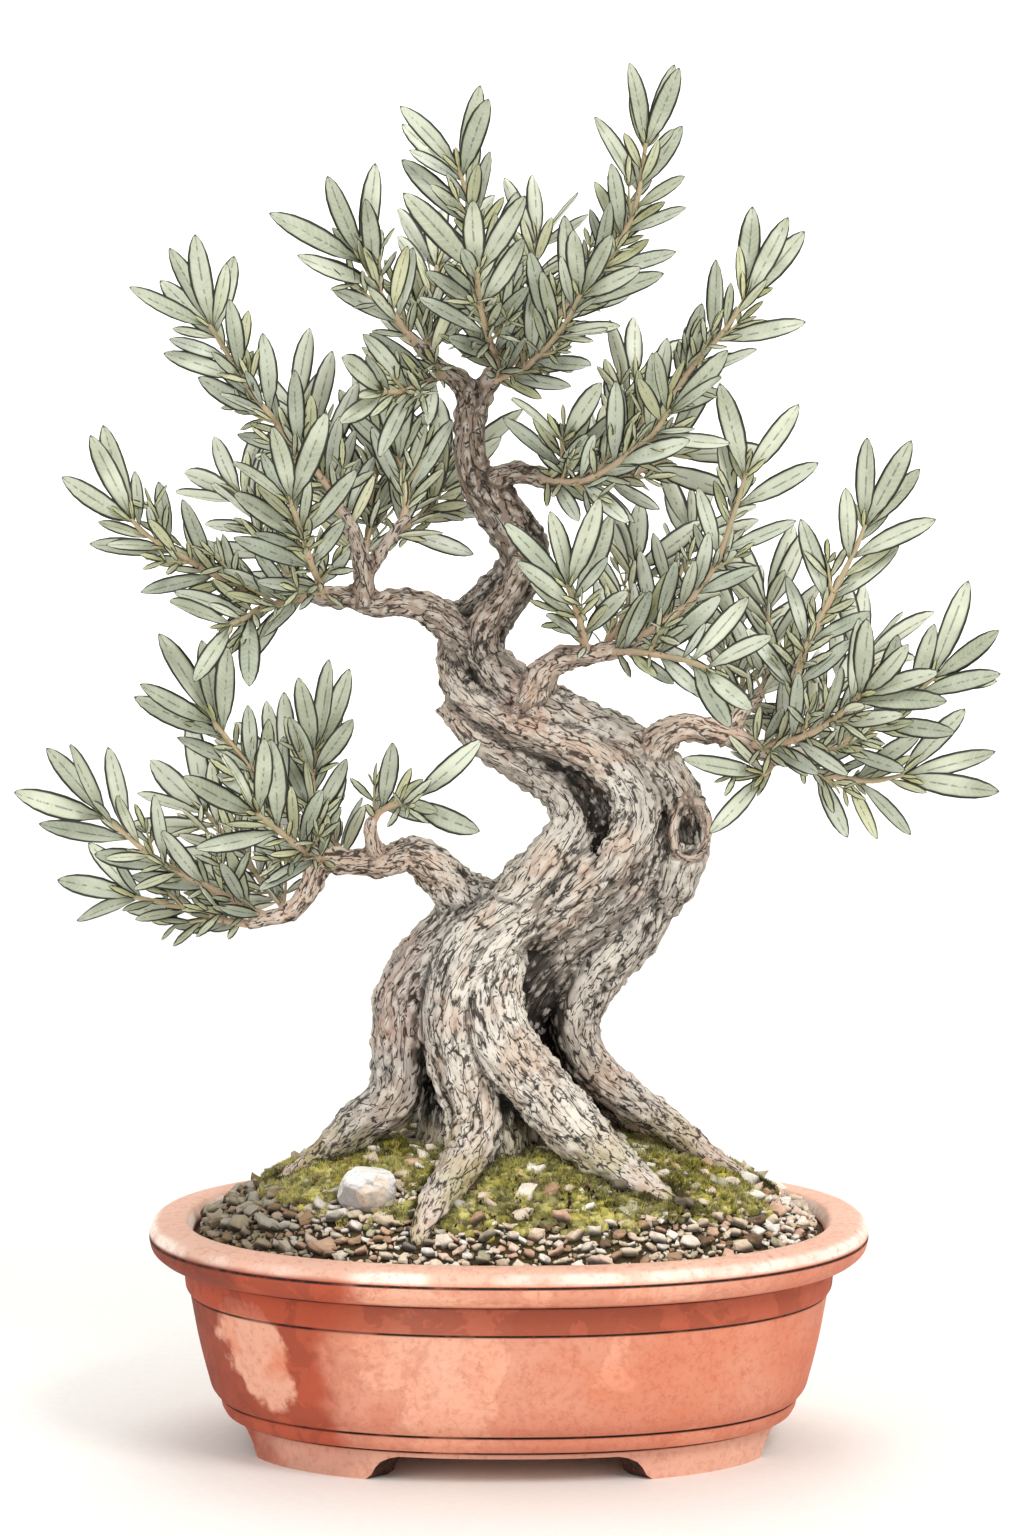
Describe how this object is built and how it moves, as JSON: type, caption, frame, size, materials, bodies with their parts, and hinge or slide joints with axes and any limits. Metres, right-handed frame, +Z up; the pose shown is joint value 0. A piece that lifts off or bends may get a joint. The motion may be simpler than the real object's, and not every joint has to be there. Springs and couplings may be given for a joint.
{
  "type": "olive bonsai in an oval terracotta pot",
  "caption": "Small olive tree with a twisted, hollowed trunk, spreading roots and leafy shoots on bent branches, in an oval rimmed terracotta pot on feet.",
  "frame": {"origin": "under the middle of the pot, on the surface that its feet stand on", "axes": "+Z up along the tree, +X to the right of the tree seen from the front, the front faces -Y"},
  "size_m": [0.376, 0.215, 0.5365],
  "materials": {
    "terracotta": "unglazed fired clay, matt, mottled",
    "soil": "loose gravel and baked clay grains",
    "rock": "rough pale stone",
    "drain_screen": "moulded net",
    "bark": "rough, cracked and flaking bark",
    "moss": "short velvety moss",
    "leaf": "leathery grey-green leaf, thin twig"
  },
  "bodies": {
    "root": {"pot": "terracotta", "soil": "soil", "stone": "rock", "drain_screen_left": "drain_screen", "drain_screen_right": "drain_screen", "trunk": "bark", "moss_left": "moss", "moss_front": "moss", "moss_right": "moss", "moss_back": "moss", "moss_back_left": "moss", "shoot_low_left_1": "leaf", "shoot_low_left_2": "leaf", "shoot_low_left_3": "leaf", "shoot_low_left_4": "leaf", "shoot_low_left_5": "leaf", "shoot_low_left_6": "leaf", "shoot_low_left_7": "leaf", "shoot_low_left_8": "leaf", "shoot_upper_left_1": "leaf", "shoot_upper_left_2": "leaf", "shoot_upper_left_3": "leaf", "shoot_upper_left_4": "leaf", "shoot_upper_left_5": "leaf", "shoot_upper_left_6": "leaf", "shoot_upper_left_7": "leaf", "shoot_upper_left_8": "leaf", "shoot_upper_left_9": "leaf", "shoot_crown_left_1": "leaf", "shoot_crown_left_2": "leaf", "shoot_crown_left_3": "leaf", "shoot_crown_middle_1": "leaf", "shoot_crown_middle_2": "leaf", "shoot_crown_middle_3": "leaf", "shoot_crown_right_1": "leaf", "shoot_crown_right_2": "leaf", "shoot_upper_right_1": "leaf", "shoot_upper_right_2": "leaf", "shoot_upper_right_3": "leaf", "shoot_upper_right_4": "leaf", "shoot_upper_right_5": "leaf", "shoot_middle_right_1": "leaf", "shoot_middle_right_2": "leaf", "shoot_middle_right_3": "leaf", "shoot_middle_right_4": "leaf", "shoot_middle_right_5": "leaf", "shoot_low_right_1": "leaf", "shoot_low_right_2": "leaf", "shoot_low_right_3": "leaf", "shoot_low_right_4": "leaf", "shoot_low_right_5": "leaf", "shoot_low_right_6": "leaf", "shoot_low_right_7": "leaf", "shoot_low_right_8": "leaf"}
  },
  "joints": []
}
